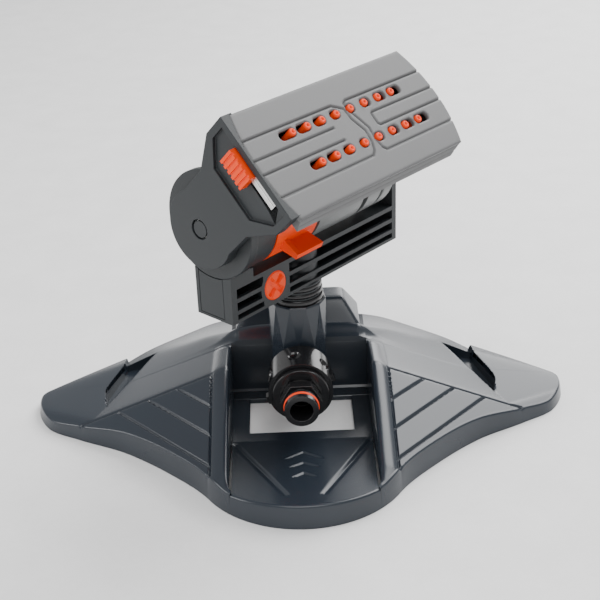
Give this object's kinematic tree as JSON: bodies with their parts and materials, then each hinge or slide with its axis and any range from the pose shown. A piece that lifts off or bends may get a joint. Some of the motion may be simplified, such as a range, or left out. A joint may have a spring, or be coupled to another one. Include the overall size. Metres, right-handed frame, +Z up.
{
  "type": "sprinkler",
  "caption": "Oscillating lawn sprinkler on a low three-lobed base, with a tilting spray head of small nozzles, a swivelling yoke and a click-on hose nipple.",
  "frame": {"origin": "on the ground under the neck's swivel axis", "axes": "+Z up, -Y out of the hose nipple towards the front, +X along the base's wings"},
  "size_m": [0.266, 0.1906, 0.1757],
  "materials": {
    "base_navy": "gloss",
    "yoke_grey": "fine texture",
    "face_grey": "fine texture",
    "light_grey": "satin",
    "orange": "semi-gloss",
    "orange_rubber": "soft",
    "black_gloss": "gloss",
    "black_rubber": "matt",
    "steel": "satin",
    "white_acetal": "satin"
  },
  "bodies": {
    "base": {"base_shell": "base_navy", "tee_piece": "base_navy", "tee_screws": "steel", "flow_valve_body": "black_gloss", "inlet_washer": "black_rubber", "tap_nipple": "black_gloss", "nipple_o_ring": "orange_rubber", "neck_ring": "black_gloss"},
    "collar": {"flow_collar": "black_gloss"},
    "yoke": {"neck_tube": "yoke_grey", "neck_o_ring": "black_rubber", "yoke_frame": "yoke_grey", "left_panel": "yoke_grey", "yoke_back_cover": "base_navy", "left_housing": "yoke_grey", "drive_core": "black_gloss", "drive_housing": "light_grey", "drive_band": "light_grey", "drive_cap": "light_grey", "gear_plate": "white_acetal", "lay_pin": "steel"},
    "ring": {"range_ring": "orange"},
    "turbine": {"turbine_wheel": "white_acetal", "turbine_shaft": "steel", "pinion": "white_acetal"},
    "layshaft": {"lay_gear": "white_acetal"},
    "reduction": {"reduction_gear": "white_acetal"},
    "plug": {"filter_plug": "orange", "plug_o_ring": "black_rubber", "filter_sieve": "steel"},
    "head": {"head_cover": "face_grey", "head_tray": "light_grey", "left_arm": "yoke_grey", "right_arm": "yoke_grey", "pivot_cap": "yoke_grey", "slider_rail": "light_grey", "manifold": "black_gloss", "nozzle_clamp": "black_gloss", "output_hub": "steel"},
    "slider": {"width_slider": "orange"},
    "left_spreader": {"spreader_left": "black_gloss"},
    "right_spreader": {"spreader_right": "black_gloss"},
    "nozzle_1_1": {"nozzle_1_1": "orange_rubber"},
    "nozzle_1_2": {"nozzle_1_2": "orange_rubber"},
    "nozzle_1_3": {"nozzle_1_3": "orange_rubber"},
    "nozzle_1_4": {"nozzle_1_4": "orange_rubber"},
    "nozzle_1_5": {"nozzle_1_5": "orange_rubber"},
    "nozzle_1_6": {"nozzle_1_6": "orange_rubber"},
    "nozzle_1_7": {"nozzle_1_7": "orange_rubber"},
    "nozzle_1_8": {"nozzle_1_8": "orange_rubber"},
    "nozzle_2_1": {"nozzle_2_1": "orange_rubber"},
    "nozzle_2_2": {"nozzle_2_2": "orange_rubber"},
    "nozzle_2_3": {"nozzle_2_3": "orange_rubber"},
    "nozzle_2_4": {"nozzle_2_4": "orange_rubber"},
    "nozzle_2_5": {"nozzle_2_5": "orange_rubber"},
    "nozzle_2_6": {"nozzle_2_6": "orange_rubber"},
    "nozzle_2_7": {"nozzle_2_7": "orange_rubber"},
    "nozzle_2_8": {"nozzle_2_8": "orange_rubber"}
  },
  "joints": [
    {"name": "swivel", "type": "hinge", "parent": "base", "child": "yoke", "pos_m": [0, 0, 0.06], "axis": [0, 0, 1], "continuous": true},
    {"name": "flow_turn", "type": "hinge", "parent": "base", "child": "collar", "pos_m": [0, -0.0245, 0.0317], "axis": [0, -1, 0], "range_deg": [0, 90]},
    {"name": "head_swing", "type": "hinge", "parent": "yoke", "child": "head", "pos_m": [0, 0, 0.1217], "axis": [0.6769, 0.7361, 0], "range_deg": [-88, 0.8]},
    {"name": "range_turn", "type": "hinge", "parent": "yoke", "child": "ring", "pos_m": [-0.01354, -0.01472, 0.1217], "axis": [0.6769, 0.7361, 0], "range_deg": [-30, 20]},
    {"name": "turbine_spin", "type": "hinge", "parent": "yoke", "child": "turbine", "pos_m": [0.00338, 0.00368, 0.1217], "axis": [0.6769, 0.7361, 0], "continuous": true},
    {"name": "lay_spin", "type": "hinge", "parent": "yoke", "child": "layshaft", "pos_m": [-0.02028, -0.0058, 0.1217], "axis": [0.6769, 0.7361, 0], "continuous": true},
    {"name": "reduction_spin", "type": "hinge", "parent": "yoke", "child": "reduction", "pos_m": [-0.01455, -0.01583, 0.1217], "axis": [0.6769, 0.7361, 0], "continuous": true},
    {"name": "plug_turn", "type": "hinge", "parent": "yoke", "child": "plug", "pos_m": [-0.01111, -0.02538, 0.085], "axis": [0.7361, -0.6769, 0], "range_deg": [0, 90]},
    {"name": "width_slide", "type": "slide", "parent": "head", "child": "slider", "axis": [0.5277, -0.4853, -0.6972], "range_m": [0, 0.014]},
    {"name": "spread_left", "type": "slide", "parent": "head", "child": "left_spreader", "axis": [-0.6769, -0.7361, 0], "range_m": [0, 0.0022]},
    {"name": "spread_right", "type": "slide", "parent": "head", "child": "right_spreader", "axis": [0.6769, 0.7361, 0], "range_m": [0, 0.0022]},
    {"name": "nozzle_1_1_tilt", "type": "hinge", "parent": "head", "child": "nozzle_1_1", "pos_m": [-0.00678, -0.0367, 0.15345], "axis": [0.5277, -0.4853, -0.6972], "range_deg": [0, 21.18]},
    {"name": "nozzle_1_2_tilt", "type": "hinge", "parent": "head", "child": "nozzle_1_2", "pos_m": [-0.00039, -0.02975, 0.15345], "axis": [0.5277, -0.4853, -0.6972], "range_deg": [0, 16.3]},
    {"name": "nozzle_1_3_tilt", "type": "hinge", "parent": "head", "child": "nozzle_1_3", "pos_m": [0.006, -0.0228, 0.15345], "axis": [0.5277, -0.4853, -0.6972], "range_deg": [0, 11.16]},
    {"name": "nozzle_1_4_tilt", "type": "hinge", "parent": "head", "child": "nozzle_1_4", "pos_m": [0.01239, -0.01585, 0.15345], "axis": [0.5277, -0.4853, -0.6972], "range_deg": [0, 5.84]},
    {"name": "nozzle_1_5_tilt", "type": "hinge", "parent": "head", "child": "nozzle_1_5", "pos_m": [0.01878, -0.0089, 0.15345], "axis": [-0.5277, 0.4853, 0.6972], "range_deg": [0, 2.9]},
    {"name": "nozzle_1_6_tilt", "type": "hinge", "parent": "head", "child": "nozzle_1_6", "pos_m": [0.02517, -0.00196, 0.15345], "axis": [-0.5277, 0.4853, 0.6972], "range_deg": [0, 8.29]},
    {"name": "nozzle_1_7_tilt", "type": "hinge", "parent": "head", "child": "nozzle_1_7", "pos_m": [0.03156, 0.00499, 0.15345], "axis": [-0.5277, 0.4853, 0.6972], "range_deg": [0, 13.54]},
    {"name": "nozzle_1_8_tilt", "type": "hinge", "parent": "head", "child": "nozzle_1_8", "pos_m": [0.03795, 0.01194, 0.15345], "axis": [-0.5277, 0.4853, 0.6972], "range_deg": [0, 18.57]},
    {"name": "nozzle_2_1_tilt", "type": "hinge", "parent": "head", "child": "nozzle_2_1", "pos_m": [0.00529, -0.04127, 0.1418], "axis": [0.5277, -0.4853, -0.6972], "range_deg": [0, 18.74]},
    {"name": "nozzle_2_2_tilt", "type": "hinge", "parent": "head", "child": "nozzle_2_2", "pos_m": [0.01168, -0.03432, 0.1418], "axis": [0.5277, -0.4853, -0.6972], "range_deg": [0, 13.72]},
    {"name": "nozzle_2_3_tilt", "type": "hinge", "parent": "head", "child": "nozzle_2_3", "pos_m": [0.01807, -0.02737, 0.1418], "axis": [0.5277, -0.4853, -0.6972], "range_deg": [0, 8.47]},
    {"name": "nozzle_2_4_tilt", "type": "hinge", "parent": "head", "child": "nozzle_2_4", "pos_m": [0.02446, -0.02042, 0.1418], "axis": [0.5277, -0.4853, -0.6972], "range_deg": [0, 3.09]},
    {"name": "nozzle_2_5_tilt", "type": "hinge", "parent": "head", "child": "nozzle_2_5", "pos_m": [0.03085, -0.01347, 0.1418], "axis": [-0.5277, 0.4853, 0.6972], "range_deg": [0, 5.66]},
    {"name": "nozzle_2_6_tilt", "type": "hinge", "parent": "head", "child": "nozzle_2_6", "pos_m": [0.03723, -0.00653, 0.1418], "axis": [-0.5277, 0.4853, 0.6972], "range_deg": [0, 10.99]},
    {"name": "nozzle_2_7_tilt", "type": "hinge", "parent": "head", "child": "nozzle_2_7", "pos_m": [0.04362, 0.00042, 0.1418], "axis": [-0.5277, 0.4853, 0.6972], "range_deg": [0, 16.13]},
    {"name": "nozzle_2_8_tilt", "type": "hinge", "parent": "head", "child": "nozzle_2_8", "pos_m": [0.05001, 0.00737, 0.1418], "axis": [-0.5277, 0.4853, 0.6972], "range_deg": [0, 21.02]}
  ],
  "couplings": [
    {"joint": "lay_spin", "follows": "turbine_spin", "ratio": -0.46667},
    {"joint": "reduction_spin", "follows": "turbine_spin", "ratio": 0.21778},
    {"joint": "spread_left", "follows": "width_slide", "ratio": 0.15714},
    {"joint": "spread_right", "follows": "width_slide", "ratio": 0.15714},
    {"joint": "nozzle_1_1_tilt", "follows": "width_slide", "rad_per_m": 26.396},
    {"joint": "nozzle_1_2_tilt", "follows": "width_slide", "rad_per_m": 20.31},
    {"joint": "nozzle_1_3_tilt", "follows": "width_slide", "rad_per_m": 13.906},
    {"joint": "nozzle_1_4_tilt", "follows": "width_slide", "rad_per_m": 7.2677},
    {"joint": "nozzle_1_5_tilt", "follows": "width_slide", "rad_per_m": 3.6064},
    {"joint": "nozzle_1_6_tilt", "follows": "width_slide", "rad_per_m": 10.328},
    {"joint": "nozzle_1_7_tilt", "follows": "width_slide", "rad_per_m": 16.871},
    {"joint": "nozzle_1_8_tilt", "follows": "width_slide", "rad_per_m": 23.139},
    {"joint": "nozzle_2_1_tilt", "follows": "width_slide", "rad_per_m": 23.345},
    {"joint": "nozzle_2_2_tilt", "follows": "width_slide", "rad_per_m": 17.089},
    {"joint": "nozzle_2_3_tilt", "follows": "width_slide", "rad_per_m": 10.554},
    {"joint": "nozzle_2_4_tilt", "follows": "width_slide", "rad_per_m": 3.836},
    {"joint": "nozzle_2_5_tilt", "follows": "width_slide", "rad_per_m": 7.0398},
    {"joint": "nozzle_2_6_tilt", "follows": "width_slide", "rad_per_m": 13.684},
    {"joint": "nozzle_2_7_tilt", "follows": "width_slide", "rad_per_m": 20.098},
    {"joint": "nozzle_2_8_tilt", "follows": "width_slide", "rad_per_m": 26.196}
  ]
}
